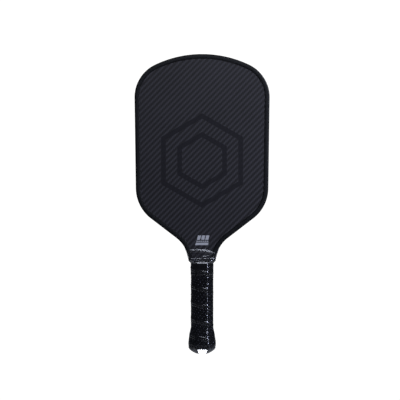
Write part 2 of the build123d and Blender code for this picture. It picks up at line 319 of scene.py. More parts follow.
def tow_crown(n, along, across):
    """Height of a tow that arches along its float and is round across it."""
    arch = n.math("SINE", n.math("MULTIPLY", along, math.pi))
    arch = n.math("MULTIPLY_ADD", arch, 0.6, 0.4)
    drop = n.math("POWER", n.math("ABSOLUTE", across), 2.5)
    return n.math("MULTIPLY", arch, n.math("SUBTRACT", 1.0, drop))


def carbon(name, side):
    """Matt 2 by 2 twill. side is 1 in front and -1 behind, so that the ribs rise to the viewer's right."""
    n = Nodes(name)
    x, _, z = n.axes()
    u = n.math("DIVIDE", n.math("MULTIPLY", x, side), TOW * MM)
    v = n.math("DIVIDE", z, TOW * MM)
    column = n.math("FLOOR", u)
    row = n.math("FLOOR", v)
    step = n.math("FLOORED_MODULO", n.math("SUBTRACT", column, row), 4.0)
    warp_up = n.math("LESS_THAN", step, 1.5)
    weft_up = n.math("SUBTRACT", 1.0, warp_up)
    # How far along its float each tow is, 0 to 1, and how far across, -1 to 1
    along_warp = n.math("FLOORED_MODULO", n.math("ADD", n.math("SUBTRACT", column, v), 1.0), 4.0)
    along_warp = n.math("DIVIDE", along_warp, 2.0)
    along_weft = n.math("FLOORED_MODULO", n.math("SUBTRACT", u, row), 4.0)
    along_weft = n.math("SUBTRACT", n.math("DIVIDE", along_weft, 2.0), 1.0)
    across_warp = n.math("MULTIPLY_ADD", n.math("FRACT", u), 2.0, -1.0)
    across_weft = n.math("MULTIPLY_ADD", n.math("FRACT", v), 2.0, -1.0)
    warp_height = n.math("MULTIPLY", tow_crown(n, along_warp, across_warp), warp_up)
    weft_height = n.math("MULTIPLY", tow_crown(n, along_weft, across_weft), weft_up)
    height = n.math("ADD", warp_height, weft_height)
    # Filaments run along each tow
    fine, long_run = 9000.0, 350.0
    warp_fibre = n.math("MULTIPLY", n.stretched_noise((fine, 0.0, long_run), 2.0), warp_up)
    weft_fibre = n.math("MULTIPLY", n.stretched_noise((long_run, 0.0, fine), 2.0), weft_up)
    fibre = n.math("ADD", warp_fibre, weft_fibre)
    grit = n.noise(5200.0, 2.0)
    cloudy = n.noise(22.0, 3.0)
    # Painted sheen and shade: warp tows are painted lighter than weft ones, standing in for how they catch
    # more light, and each tow is painted darker where it dips
    light = n.math("MULTIPLY_ADD", height, 0.35, n.math("MULTIPLY", warp_up, 0.6))
    light = n.around(fibre, 0.2, light)
    light = n.around(cloudy, 0.2, light, clamp=True)
    relief = n.math("MULTIPLY_ADD", fibre, 0.05, n.math("MULTIPLY_ADD", grit, 0.05, height))
    return n.surface(
        color=n.mix(light, (0.0050, 0.0050, 0.0060), (0.0440, 0.0440, 0.0560)),
        roughness=n.math("MULTIPLY_ADD", light, 0.20, 0.36),
        specular=0.30,
        normal=n.bump(relief, 0.3, 0.00012),
    )


def moulded(name, dark, pale, roughness, grain_scale, relief):
    """Moulded plastic: fine grain, cloudy wear and slight changes of gloss."""
    n = Nodes(name)
    grain = n.noise(grain_scale, 4.0, 0.6)
    wear = n.noise(35.0, 4.0)
    return n.surface(
        color=n.mix(n.blend(wear, 0.35, 0.75), dark, pale),
        roughness=n.around(wear, 0.25, roughness),
        specular=0.5,
        normal=n.bump(grain, 0.35, relief),
    )


def guard_rubber():
    """Satin black moulded strip with random wear, its flat lip painted lighter than its rounded rim and its
    feathered edge, which carry painted shade.
    """
    n = Nodes("guard_rubber")
    inwards = n.attribute("lip_place")
    lip = n.math("MULTIPLY", n.blend(inwards, 1.2, 2.6), n.math("SUBTRACT", 1.0, n.blend(inwards, 4.9, 5.5)))
    grain = n.noise(2600.0, 4.0, 0.6)
    wear = n.noise(45.0, 4.0)
    # Painted shade: the rounded rim and the feathered edge are painted darker than the flat lip, and the
    # wear varies the tone at random
    wear_and_painted_shade = n.around(wear, 0.5, n.math("MULTIPLY_ADD", lip, 0.6, 0.3))
    return n.surface(
        color=n.mix(wear_and_painted_shade, (0.0012, 0.0014, 0.002), (0.0085, 0.0098, 0.0125)),
        roughness=n.around(wear, 0.25, 0.45),
        specular=0.2,
        normal=n.bump(grain, 0.3, 0.00008),
    )


def wrap_leather():
    """Black perforated wrap: a leathery grain of small cells, and the holes' floors painted pale, a painted
    highlight that stands in for the glints over the holes.
    """
    n = Nodes("wrap_leather")
    pebble = n.cells(1500.0)
    crease = n.noise(420.0, 4.0, 0.6)
    wear = n.noise(60.0, 3.0)
    height = n.math("MULTIPLY_ADD", crease, 0.7, n.math("MULTIPLY", pebble, -0.6))
    colour = n.mix(n.blend(wear, 0.3, 0.8), (0.0010, 0.0011, 0.0022), (0.0024, 0.0026, 0.0046))
    # Painted highlight: the holes' floors are painted pale, so that the holes show as light dots
    colour = n.mix(n.blend(n.attribute("hole_floor"), 0.3, 0.9), colour, (0.24, 0.25, 0.33))
    return n.surface(
        color=colour,
        roughness=n.math("MULTIPLY_ADD", wear, 0.2, 0.36),
        specular=0.06,
        normal=n.bump(height, 0.5, 0.00012),
    )


def tape_vinyl():
    """Satin black vinyl with the marks of stretching round the handle."""
    n = Nodes("tape_vinyl")
    pulled = n.stretched_noise((140.0, 140.0, 900.0), 3.0)
    return n.surface(
        color=n.mix(pulled, (0.002, 0.002, 0.003), (0.005, 0.005, 0.006)),
        roughness=n.math("MULTIPLY_ADD", pulled, 0.2, 0.22),
        specular=0.15,
        normal=n.bump(pulled, 0.3, 0.0002),
    )


def clear_film():
    """Clear film: mostly see-through, with a mirror-like gloss that grows at a glancing angle."""
    n = Nodes("clear_film")
    haze = n.noise(90.0, 4.0)
    crinkle = n.noise(330.0, 3.0)
    glancing = n.node("LayerWeight", Blend=0.25).outputs["Fresnel"]
    cover = n.math("MULTIPLY_ADD", glancing, 0.3, 0.05)
    cover = n.math("MULTIPLY_ADD", n.blend(haze, 0.5, 0.75), 0.02, cover)
    return n.surface(
        color=(0.86, 0.90, 1.0),
        metallic=1.0,
        roughness=n.math("MULTIPLY_ADD", haze, 0.1, 0.1),
        alpha=cover,
        normal=n.bump(crinkle, 0.2, 0.0002),
    )


def ink(name, colour, speckle, roughness, specular):
    """Printed ink: an even film whose surface follows the cloth under it a little."""
    n = Nodes(name)
    mottle = n.noise(1400.0, 3.0)
    weave = n.noise(500.0, 2.0)
    return n.surface(
        color=n.mix(mottle, colour, speckle),
        roughness=roughness,
        specular=specular,
        normal=n.bump(weave, 0.25, 0.00008),
    )


def honeycomb_plastic():
    """Milky polypropylene."""
    n = Nodes("honeycomb_plastic")
    streak = n.noise(260.0, 3.0)
    return n.surface(
        color=n.mix(streak, (0.62, 0.62, 0.60), (0.84, 0.84, 0.82)),
        roughness=n.math("MULTIPLY_ADD", streak, 0.2, 0.35),
        specular=0.5,
        normal=n.bump(streak, 0.2, 0.0002),
    )


def cellular_foam(name, dark, pale):
    """Closed-cell foam."""
    n = Nodes(name)
    cell = n.cells(900.0)
    return n.surface(
        color=n.mix(cell, dark, pale), roughness=0.85, specular=0.3, normal=n.bump(cell, 0.6, 0.0003)
    )


def staple_metal():
    """Bright drawn wire."""
    n = Nodes("staple_metal")
    drawn = n.stretched_noise((300.0, 4000.0, 4000.0), 3.0)
    return n.surface(
        color=n.mix(drawn, (0.42, 0.42, 0.43), (0.62, 0.62, 0.63)),
        metallic=1.0,
        roughness=n.math("MULTIPLY_ADD", drawn, 0.25, 0.2),
        normal=n.bump(drawn, 0.2, 0.00005),
    )


# ---- handle surface


def smooth(t):
    """Rises smoothly from 0 to 1 as t does."""
    t = np.clip(t, 0.0, 1.0)
    return t * t * (3 - 2 * t)


def ripple(share, z, seed, waves=9):
    """A smooth, repeatable unevenness of about -1 to 1 round and along the handle."""
    most_round, slowest, fastest = 9, 0.02, 0.35
    rng = np.random.default_rng(seed)
    total = np.zeros(np.broadcast(share, z).shape)
    for _ in range(waves):
        around = rng.integers(-most_round, most_round + 1)
        along = rng.uniform(slowest, fastest)
        total += np.sin(2 * math.pi * (around * share) + along * z + rng.uniform(0, 2 * math.pi))
    return total / math.sqrt(waves)


def seam_z(turns):
    """Height of the wrap's seam after so many turns."""
    return SEAM_Z - SEAM_PITCH * turns + SEAM_DRIFT * turns * turns


def over_seams(share, z, rise):
    """The most that any seam lifts a layer over the wrap. rise gives it by height above one seam."""
    turns = share - SEAM_SHARE
    turns = turns - np.floor(turns)
    lifted = np.zeros_like(z)
    for whole in range(-3, 7):
        lifted = np.maximum(lifted, rise(z - seam_z(turns + whole)))
    return lifted


def handle_shape(z, height):
    """Half width, half depth, bevel and corner radius of the wrap's outside at z, plus height."""
    flare = np.interp(z, *zip(*FLARE))
    return (
        GRIP_HALF_WIDTH + flare + height,
        GRIP_HALF_DEPTH + FLARE_DEPTH_SHARE * flare + height,
        GRIP_BEVEL + FLARE_DEPTH_SHARE * flare + BEVEL_LOSS * height,
        np.maximum(GRIP_CORNER + height, SMALLEST_CORNER),
    )


def top_sink(z):
    """How far the wrap's surface has rolled inwards at height z, at its squeezed top edge."""
    past = np.clip(z - (GRIP_TOP_Z + TOP_ROUND_END - TOP_ROUND), 0.0, 0.93 * TOP_ROUND)
    return TOP_ROUND - np.sqrt(TOP_ROUND ** 2 - past ** 2)


def octagon_point(share, half_width, half_depth, bevel, corner):
    """x and y at a share of the way round a rounded octagon, from the middle of the right-hand side,
    anticlockwise from above. The shares of its flats and corners are those of the straight handle."""
    sign = [(1, -1), (1, 1), (1, 1), (-1, 1), (-1, 1), (-1, -1), (-1, -1), (1, -1)]
    near_side = [True, True, False, False, True, True, False, False]
    side, end = half_width - bevel, half_depth - bevel
    corner_x = [s[0] * (half_width if near else side) for s, near in zip(sign, near_side)]
    corner_y = [s[1] * (end if near else half_depth) for s, near in zip(sign, near_side)]
    pull = corner * CORNER_PULL
    x, y = np.zeros_like(share), np.zeros_like(share)
    position = (np.asarray(share) % 1.0) * PERIMETER
    for k in range(8):
        after = (k + 1) % 8
        heading = math.radians(90 + 45 * k)
        along_x, along_y = math.cos(heading), math.sin(heading)
        # The flat
        start = FLAT_START[k]
        inside = (position >= start) & (position < start + FLAT_LENGTH[k])
        t = (position - start) / FLAT_LENGTH[k]
        from_x, from_y = corner_x[k] + along_x * pull, corner_y[k] + along_y * pull
        to_x, to_y = corner_x[after] - along_x * pull, corner_y[after] - along_y * pull
        x = np.where(inside, from_x + (to_x - from_x) * t, x)
        y = np.where(inside, from_y + (to_y - from_y) * t, y)
        # The round corner after it
        start = start + FLAT_LENGTH[k]
        inside = (position >= start) & (position < start + TURN_LENGTH)
        outwards = heading - math.pi / 2
        angle = outwards + (position - start) / TURN_LENGTH * math.pi / 4
        centre_x, centre_y = to_x - corner * math.cos(outwards), to_y - corner * math.sin(outwards)
        x = np.where(inside, centre_x + corner * np.cos(angle), x)
        y = np.where(inside, centre_y + corner * np.sin(angle), y)
    return x, y


# ---- mesh helpers


def new_object(name, data):
    """An object of some data, in the scene."""
    made = bpy.data.objects.new(name, data)
    bpy.context.scene.collection.objects.link(made)
    return made


class Patches:
    """Points and faces of a piece, gathered patch by patch."""

    def __init__(self):
        self.vertices, self.faces = [], []

    def add(self, points):
        """Adds points and gives back the number of the first."""
        start = len(self.vertices)
        self.vertices.extend(np.asarray(points).reshape(-1, 3).tolist())
        return start

    def grid(self, points, closed=False, flipped=False):
        """Adds a grid of points with its faces, and gives back the number of the first point."""
        start = self.add(points)
        faces = grid_faces(points.shape[0], points.shape[1], closed, start)
        self.faces += [tuple(reversed(face)) for face in faces] if flipped else faces
        return start

    def face(self, points):
        """Adds one face with points of its own."""
        start = self.add(points)
        self.faces.append(tuple(range(start, start + len(points))))

    def piece(self, name, material, smooth_angle=35.0):
        """The object made of the patches, whose points are in millimetres."""
        mesh = bpy.data.meshes.new(name)
        mesh.from_pydata((np.asarray(self.vertices) * MM).tolist(), [], self.faces)
        mesh.update()
        mesh.materials.append(material)
        piece = new_object(name, mesh)
        merge_points(piece)
        shade(piece, smooth_angle)
        return piece


def grid_faces(rows, columns, closed, start=0):
    """Quads of a grid of points, rows by columns, its columns joined round if closed."""
    last = columns if closed else columns - 1
    return [
        (
            start + r * columns + c,
            start + r * columns + (c + 1) % columns,
            start + (r + 1) * columns + (c + 1) % columns,
            start + (r + 1) * columns + c,
        )
        for r in range(rows - 1)
        for c in range(last)
    ]


def merge_points(piece):
    """Merges points in the same place and turns the faces outwards."""
    bm = bmesh.new()
    bm.from_mesh(piece.data)
    bmesh.ops.remove_doubles(bm, verts=bm.verts, dist=SAME_POINT)
    bmesh.ops.dissolve_degenerate(bm, edges=bm.edges, dist=NO_LENGTH)
    bmesh.ops.recalc_face_normals(bm, faces=bm.faces)
    bm.to_mesh(piece.data)
    bm.free()


def shade(piece, smooth_angle):
    """Shades all but the edges sharper than an angle in degrees smooth."""
    piece.data.polygons.foreach_set("use_smooth", [True] * len(piece.data.polygons))
    piece.data.set_sharp_from_angle(angle=math.radians(smooth_angle))


def store(piece, name, values):
    """Stores a number for each point of the piece's mesh."""
    layer = piece.data.attributes.new(name, "FLOAT", "POINT")
    layer.data.foreach_set("value", values)


def trim_level(piece, low, high):
    """Cuts a piece level at its foot and top, and closes the cuts."""
    bm = bmesh.new()
    bm.from_mesh(piece.data)
    for z, outwards in ((low, -1), (high, 1)):
        geometry = bm.verts[:] + bm.edges[:] + bm.faces[:]
        cut = bmesh.ops.bisect_plane(
            bm, geom=geometry, dist=NO_LENGTH, plane_co=(0, 0, z * MM), plane_no=(0, 0, outwards),
            clear_outer=True,
        )
        edges = [e for e in cut["geom_cut"] if isinstance(e, bmesh.types.BMEdge) and e.is_valid]
        bmesh.ops.triangle_fill(bm, use_beauty=True, edges=edges, normal=(0, 0, outwards))
    bmesh.ops.recalc_face_normals(bm, faces=bm.faces)
    bm.to_mesh(piece.data)
    bm.free()


# ---- grip wrap


def strip_height(w_mm, width):
    """Height of the strip over the plain handle, by distance from its lower edge."""
    risen = smooth(w_mm / RIDGE_RISE)
    fallen = smooth((w_mm - RIDGE_WIDTH) / RIDGE_FALL)
    rolled = LOW_EDGE_ROLL * (1 - smooth(w_mm / EDGE_WIDTH))
    tucked = TOP_EDGE_ROLL * smooth((w_mm - width + EDGE_WIDTH) / EDGE_WIDTH)
    return RIDGE_HEIGHT * risen * (1 - fallen) - rolled - tucked


def strip_point(turns, w, sink=0.0):
    """Point of the strip's outside: turns wound so far, share w of its width up, sunk by sink."""
    turns, w = np.broadcast_arrays(np.asarray(turns, float), np.asarray(w, float))
    low, high = seam_z(turns), seam_z(turns - 1)
    z = low + w * (high - low)
    share = SEAM_SHARE + turns
    height = strip_height(w * (high - low), high - low) + UNEVENNESS * ripple(share, z, 3) - sink
    height = height - top_sink(z) - SQUEEZE * smooth((z - SQUEEZE_Z) / SQUEEZE_RUN)
    x, y = octagon_point(share, *handle_shape(z, height))
    return np.stack([x, y, z], -1)


def row_share(row):
    """Share of the strip's width at which a row of holes starts. A part of a row counts as well."""
    return RIDGE_SHARES[-1] + row * (TOP_SHARES[0] - RIDGE_SHARES[-1]) / TILE_ROWS


def tiles():
    """Every tile of the strip: its row, the turns at its two ends, and whether it holds a hole. Odd rows
    are staggered by half a tile, so they start and end with a plain half tile."""
    first, last = WRAP_TURNS
    count = int(round((last - first) * TILES_ROUND))
    pitch = 1 / TILES_ROUND
    for row in range(TILE_ROWS):
        if row % 2 == 0:
            spans = [(first + k * pitch, first + (k + 1) * pitch, True) for k in range(count)]
        else:
            spans = [(first + (k - 0.5) * pitch, first + (k + 0.5) * pitch, True) for k in range(1, count)]
            spans.insert(0, (first, first + pitch / 2, False))
            spans.append((last - pitch / 2, last, False))
        for start, end, holed in spans:
            yield row, start, end, holed


def holed_tile(row, t0, t1):
    """Rings of points from a tile's square outline in to the hole's floor."""
    s = np.arange(TILE_STEPS) / TILE_STEPS
    w0, w1 = row_share(row), row_share(row + 1)
    at_t0, at_t1 = np.full(TILE_STEPS, t0), np.full(TILE_STEPS, t1)
    at_w0, at_w1 = np.full(TILE_STEPS, w0), np.full(TILE_STEPS, w1)
    square_t = np.concatenate([t0 + (t1 - t0) * s, at_t1, t1 + (t0 - t1) * s, at_t0])
    square_w = np.concatenate([at_w0, w0 + (w1 - w0) * s, at_w1, w1 + (w0 - w1) * s])
    rings = [strip_point(square_t, square_w)]
    mid_t, mid_w = (t0 + t1) / 2, (w0 + w1) / 2
    angle = np.arctan2((square_w - mid_w) / (w1 - w0), (square_t - mid_t) / (t1 - t0))
    mid_z = seam_z(mid_t) + mid_w * (seam_z(mid_t - 1) - seam_z(mid_t))
    for radius, sink in HOLE_RINGS:
        ring_t = mid_t + radius * np.cos(angle) / PERIMETER
        ring_z = mid_z + radius * np.sin(angle)
        low, high = seam_z(ring_t), seam_z(ring_t - 1)
        rings.append(strip_point(ring_t, (ring_z - low) / (high - low), sink))
    return np.stack(rings)


def add_tiles(strip):
    """The rows of holes."""
    round_count = 4 * TILE_STEPS
    for row, t0, t1, holed in tiles():
        if holed:
            rings = holed_tile(row, t0, t1)
            floor = strip.grid(rings, closed=True) + (len(rings) - 1) * round_count
            strip.faces.append(tuple(floor + i for i in range(round_count)))
        else:
            across = row_share(row + np.arange(TILE_STEPS + 1) / TILE_STEPS)
            along = np.linspace(t0, t1, TILE_STEPS // 2 + 1)
            strip.grid(strip_point(along[None, :], across[:, None]))


def grip_wrap(material):
    """The wrap: one strip wound down the handle, with rows of small holes and a raised overlap."""
    first, last = WRAP_TURNS
    count = int(round((last - first) * TILES_ROUND)) * TILE_STEPS
    turns = first + (last - first) * np.arange(count + 1) / count
    strip = Patches()
    # The plain stretches below and above the holes
    for shares in (RIDGE_SHARES, TOP_SHARES):
        strip.grid(strip_point(turns[None, :], np.array(shares)[:, None]))
    add_tiles(strip)
    # The strip's inside and its two edges
    outer_low = strip_point(turns, 0.0)
    outer_high = strip_point(turns, TOP_SHARES[-1])
    inner_low = strip_point(turns, 0.0, WRAP_DEPTH - LOW_EDGE_ROLL)
    inner_high = strip_point(turns, TOP_SHARES[-1], TOP_EDGE_DEPTH)
    strip.grid(np.stack([outer_low, inner_low, inner_high, outer_high]), flipped=True)
    # The strip's two ends
    tile_shares = [row_share(k / TILE_STEPS) for k in range(TILE_ROWS * TILE_STEPS)]
    shares = RIDGE_SHARES[:-1] + tile_shares + TOP_SHARES
    for end in (0, len(turns) - 1):
        outline = strip_point(turns[end], np.array(shares))
        strip.face(np.concatenate([outline, inner_high[end][None], inner_low[end][None]]))
    piece = strip.piece("grip_wrap_strip", material)
    trim_level(piece, GRIP_FOOT_Z, GRIP_TOP_Z)
    shade(piece, 50.0)
    # The holes' floors are the only faces with so many sides
    floor = np.zeros(len(piece.data.vertices), np.float32)
    for face in piece.data.polygons:
        if len(face.vertices) == 4 * TILE_STEPS:
            floor[list(face.vertices)] = 1.0
    store(piece, "hole_floor", floor)
    return piece


# ---- finishing tape


def tape_over_seam(distance):
    """How far the tape is lifted at a distance above a seam, which it bridges softly."""
    risen = smooth((distance + 1.0) / 1.2)
    fallen = smooth((distance - 2.6) / 1.8)
    return RIDGE_HEIGHT * risen * (1 - fallen)


def finishing_tape(material):
    """A band of tape wound a little over once round the wrap's top end, so its end shows as a step. Its
    top is stretched over the wrap's edge towards the guard's feet."""
    columns = 190
    wound = np.linspace(0, TAPE_TURNS, columns)
    heights = np.concatenate([np.linspace(TAPE_FOOT_Z, 125.0, 16), np.linspace(125.6, TAPE_TOP_Z, 9)])
    share, z = np.meshgrid(TAPE_START + wound, heights)
    second_layer = smooth((np.broadcast_to(wound, share.shape) - 1.0) / 0.02) * TAPE_THICKNESS
    lift = over_seams(share, z, tape_over_seam)
    pull = UNEVENNESS * ripple(share, z * 1.6, 11)
    # The foot isn't quite level
    z = z + 0.25 * np.sin(4 * math.pi * share + 0.6) * (1 - smooth((z - 116.0) / 6.0))
    lift = lift * (1 - smooth((z - SQUEEZE_Z) / SQUEEZE_RUN)) + pull + second_layer + TAPE_LIFT
    bridging = smooth((z - FILM_LEAVES_GRIP_Z + 1.0) / 1.2)
    wide, deep, bevel, corner = film_shape(z)
    layers = []
    for thickness in (TAPE_THICKNESS, 0.0):
        band = handle_shape(z, lift + thickness)
        sunk = second_layer + thickness - TAPE_THICKNESS - TAPE_GAP
        round_top = np.maximum(corner + sunk, SMALLEST_CORNER)
        top = (wide + sunk, deep + sunk, bevel + BEVEL_LOSS * sunk, round_top)
        shape = [low * (1 - bridging) + high * bridging for low, high in zip(band, top)]
        x, y = octagon_point(share, *shape)
        layers.append(np.stack([x, y, z], -1))
    rows = len(heights)
    tape = Patches()
    outer = tape.grid(layers[0])
    inner = tape.grid(layers[1], flipped=True)
    loop = list(range(columns))
    loop += [r * columns + columns - 1 for r in range(1, rows)]
    loop += [(rows - 1) * columns + c for c in range(columns - 2, -1, -1)]
    loop += [r * columns for r in range(rows - 2, 0, -1)]
    for a, b in zip(loop, loop[1:] + loop[:1]):
        tape.faces.append((outer + a, inner + a, inner + b, outer + b))
    return tape.piece("finishing_tape_band", material)


# ---- clear film


def cap_shape(z):
    """Half width, half depth, bevel and corner radius of the film's inside round the cap at height z."""
    inset = np.interp(z, *zip(*CAP_PROFILE)) - FILM_LIFT
    return (
        LIP_HALF_WIDTH - inset,
        LIP_HALF_DEPTH - inset,
        LIP_BEVEL - BEVEL_LOSS * inset,
        LIP_CORNER * (1 - inset / LIP_HALF_WIDTH),
    )


def film_shape(z):
    """Half width, half depth, bevel and corner radius of the film's inside at heights z."""
    cap_z = [FILM_FOOT_Z] + [height for height, _ in CAP_PROFILE if height > FILM_FOOT_Z]
    grip_z = [height for height, _ in FLARE] + list(np.linspace(40, FILM_LEAVES_GRIP_Z, 12))
    stations = [(height, *cap_shape(height)) for height in cap_z]
    stations += [(height, *handle_shape(height, FILM_LIFT)) for height in grip_z]
    table = np.array(stations + FILM_THROAT)
    span = FILM_SMOOTHING * smooth((z - 9.0) / 2.0)
    shape = []
    for column in table[:, 1:].T:
        samples = [np.interp(z + span * shift, table[:, 0], column) for shift in np.linspace(-1, 1, 7)]
        shape.append(sum(samples) / len(samples))
    return shape


def film_folds(x, y, z):
    """How far the folds over the throat stand off the film's smooth shape, in front and, turned end for
    end, behind."""
    height = np.zeros_like(z)
    for middle_x, middle_z, half_length, tilt, sag, half_width, rise in FOLDS:
        cosine, sine = math.cos(math.radians(tilt)), math.sin(math.radians(tilt))
        for side, facing in ((1, y < 0), (-1, y > 0)):
            along = (side * x - middle_x) * cosine + (z - middle_z) * sine
            across = -(side * x - middle_x) * sine + (z - middle_z) * cosine
            across = across - sag * (along / half_length) ** 2
            fade = 1 - smooth((np.abs(along) / half_length - 0.55) / 0.45)
            height += np.where(facing, 1.0, 0.0) * rise * fade * np.exp(-((across / half_width) ** 2))
    return height


def dimples(share, z):
    """How far the film is drawn in over each of the wrap's holes."""
    depth = np.zeros_like(z)
    for row, t0, t1, holed in tiles():
        if not holed:
            continue
        turn = (t0 + t1) / 2
        hole_z = seam_z(turn) + row_share(row + 0.5) * (seam_z(turn - 1) - seam_z(turn))
        round_way = (share - SEAM_SHARE - turn + 0.5) % 1.0 - 0.5
        distance = np.hypot(round_way * PERIMETER, z - hole_z)
        depth = np.maximum(depth, DIMPLE_DEPTH * (1 - smooth(distance / DIMPLE_RADIUS)))
    return depth


def film_on_grip(share, z):
    """How far the film stands off its smooth shape on the grip."""
    seam = over_seams(share, z, lambda distance: np.interp(distance, SEAM_FROM, SEAM_LIFT))
    # The film bridges the seams most at every other corner, and lies flatter between them
    pulled = 0.5 + 0.5 * np.cos(8 * math.pi * (share - SEAM_SHARE))
    across = 0.6 + 0.4 * np.cos(4 * math.pi * (share - 0.75))
    seam = seam * (0.3 + 0.7 * np.sqrt(pulled)) * across * (0.95 + 0.05 * np.sin(z * 0.21 + 1.0))
    slack = sum(weight * np.sin(z * rate + phase) for weight, rate, phase in CORNER_WAVES)
    seam = seam + CORNER_SLACK * slack * pulled ** 6
    over_tape = smooth((z - TAPE_FOOT_Z + 0.7) / 0.9)
    lift = seam + FILM_OVER_TAPE * over_tape + UNEVENNESS * ripple(share, z, 21, 14)
    return lift - dimples(share, z) * (1 - over_tape)


def shrink_film(material):
    """The film: a closed thin sleeve, tight on the grip and creased over the throat."""
    columns = 200
    heights = np.concatenate([
        [FILM_FOOT_Z, 1.6, 2.4, 3.0, 3.7, 4.4, 5.1, 5.8, 6.5, 7.2, 8.0],
        np.linspace(8.5, 125.0, 260),
        np.linspace(125.4, FILM_TOP_Z, 64),
    ])
    share, z = np.meshgrid(np.arange(columns) / columns, heights)
    on_grip = smooth((z - 8.5) / 3.0) * (1 - smooth((z - 125.0) / 3.0))
    in_throat = smooth((z - 129.5) / 3.0)
    tight = film_on_grip(share, z) * on_grip
    # The top edge was cut by hand, so it wanders
    wander = 1.2 * np.sin(2 * math.pi * share + 0.5) + 0.7 * np.sin(6 * math.pi * share)
    z = z - smooth((z - 140) / 7) * (1.2 + wander)
    shape = film_shape(z)
    x, y = octagon_point(share, *shape)
    loose = film_folds(x, y, z) + FILM_RIPPLE * ripple(share, z * 3, 5, 12)
    lift = np.maximum(tight + loose * in_throat, -DEEPEST_SHARE * FILM_LIFT)
    wide, deep, bevel, corner = shape
    layers = []
    for grown in (lift + FILM_THICKNESS, lift):
        x, y = octagon_point(share, wide + grown, deep + grown, bevel + BEVEL_LOSS * grown, corner + grown)
        layers.append(np.stack([x, y, z], -1))
    # The inside has half the rows and columns, and each of its edges meets two of the outside's at the rims
    rows = len(heights)
    inner_rows = list(range(0, rows - 1, 2)) + [rows - 1]
    half = columns // 2
    film = Patches()
    film.grid(layers[0], closed=True)
    inner = film.grid(layers[1][inner_rows][:, ::2], closed=True, flipped=True)
    outer_top, inner_top = (rows - 1) * columns, inner + (len(inner_rows) - 1) * half
    for c in range(half):
        near, far = c, (c + 1) % half
        outside = [2 * c, 2 * c + 1, (2 * c + 2) % columns]
        film.faces.append((*reversed(outside), inner + near, inner + far))
        film.faces.append((*[outer_top + k for k in outside], inner_top + far, inner_top + near))
    return film.piece("shrink_film", material, 60.0)


# ---- edge guard


def at_angle(degrees, length=1.0):
    """x and z of a vector in the paddle's plane."""
    angle = math.radians(degrees)
    return np.array([length * math.cos(angle), length * math.sin(angle)])


def right_arcs():
    """The arcs down the outline's right half, from the crown to the neck: centre, radius (negative where
    the outline is hollow), the outward normal's direction at both ends, and steps."""
    top = np.array([0.0, LENGTH - TOP_RADIUS])
    corner_normal = math.degrees(math.acos((HALF_WIDTH - CORNER_RADIUS) / (TOP_RADIUS - CORNER_RADIUS)))
    corner = top + at_angle(corner_normal, TOP_RADIUS - CORNER_RADIUS)
    shoulder = corner + at_angle(SIDE_NORMAL, CORNER_RADIUS - SHOULDER_RADIUS)
    shoulder = shoulder + at_angle(SIDE_NORMAL - 90, SIDE_RUN)
    neck = shoulder + at_angle(SHOULDER_NORMAL, SHOULDER_RADIUS + NECK_RADIUS)
    neck = neck + at_angle(SHOULDER_NORMAL - 90, SHOULDER_RUN)
    return [
        (top, TOP_RADIUS, 90.0, corner_normal, 34),
        (corner, CORNER_RADIUS, corner_normal, SIDE_NORMAL, 26),
        (shoulder, SHOULDER_RADIUS, SIDE_NORMAL, SHOULDER_NORMAL, 24),
        (neck, -NECK_RADIUS, SHOULDER_NORMAL, NECK_NORMAL, 18),
    ]


def right_outline():
    """Points down the outline's right half, from the crown to below the foot, each with its outward
    normal's direction in degrees."""
    points, normals = [], []
    for centre, radius, first, last, count in right_arcs():
        if points:
            start = points[-1]
            end = centre + at_angle(first, radius)
            steps = max(1, int(np.hypot(*(end - start)) / STRAIGHT_STEP))
            points += [start + (end - start) * k / steps for k in range(1, steps)]
            normals += [first] * (steps - 1)
        for k in range(count + 1):
            normal = first + (last - first) * k / count
            point = centre + at_angle(normal, radius)
            if not points or np.hypot(*(point - points[-1])) > 0.01:
                points.append(point)
                normals.append(normal)
    # The straight neck goes on below the foot, where it is cut level
    down = at_angle(NECK_NORMAL - 90)
    start = points[-1]
    run = (THROAT_FOOT_Z - 4.0 - start[1]) / down[1]
    steps = 14
    points += [start + down * run * k / steps for k in range(1, steps + 1)]
    normals += [NECK_NORMAL] * steps
    return np.array(points), np.array(normals)


def guard_profile():
    """The strip's section as a closed ring: distance in from the outline, and y."""
    turn = np.radians(np.linspace(0, 90, 9)[1:-1])
    low = GUARD_HALF - GUARD_CORNER
    half = [(0.0, 0.0), (0.02, 3.2), (0.0, low)]
    half += [(GUARD_CORNER * (1 - math.cos(a)), low + GUARD_CORNER * math.sin(a)) for a in turn]
    half += [(inwards, GUARD_HALF - drop) for inwards, drop in GUARD_LIP]
    half += [(GUARD_REACH, PANEL_HALF), (4.2, PANEL_HALF), (GUARD_WEB + 0.3, PANEL_HALF)]
    half += [(GUARD_WEB, PANEL_HALF - 0.3)]
    mirrored = [(d, -y) for d, y in reversed(half[1:])]
    return np.array(half + [(GUARD_WEB, 0.0)] + mirrored)


